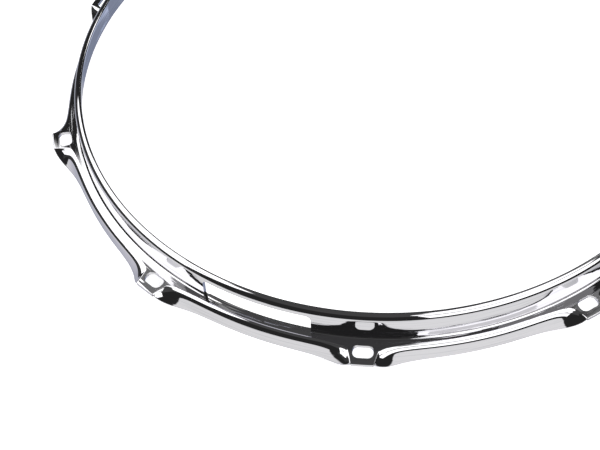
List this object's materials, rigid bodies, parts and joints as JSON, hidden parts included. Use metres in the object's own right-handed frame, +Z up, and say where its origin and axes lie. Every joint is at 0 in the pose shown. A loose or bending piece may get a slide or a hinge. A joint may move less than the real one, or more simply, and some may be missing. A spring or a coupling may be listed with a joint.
{
  "type": "drum hoop",
  "caption": "Round triple-flanged pressed steel hoop with flat drilled ears around the rim and snare gates cut in its wall.",
  "frame": {"origin": "on the hoop's axis, in the plane that its skirt stands on", "axes": "+Z up along the hoop's axis, from the skirt to the lip; +X through the middle of one ear; the snare gates are centred on +Y and -Y"},
  "size_m": [0.3996, 0.3838, 0.0276],
  "materials": {
    "chrome_plate": "mirror bright chrome plate over polished pressed steel",
    "chrome_over_weld": "bright chrome plate over a butt weld that was ground flush"
  },
  "bodies": {
    "root": {"hoop_strip": "chrome_plate", "butt_weld": "chrome_over_weld"}
  },
  "joints": []
}
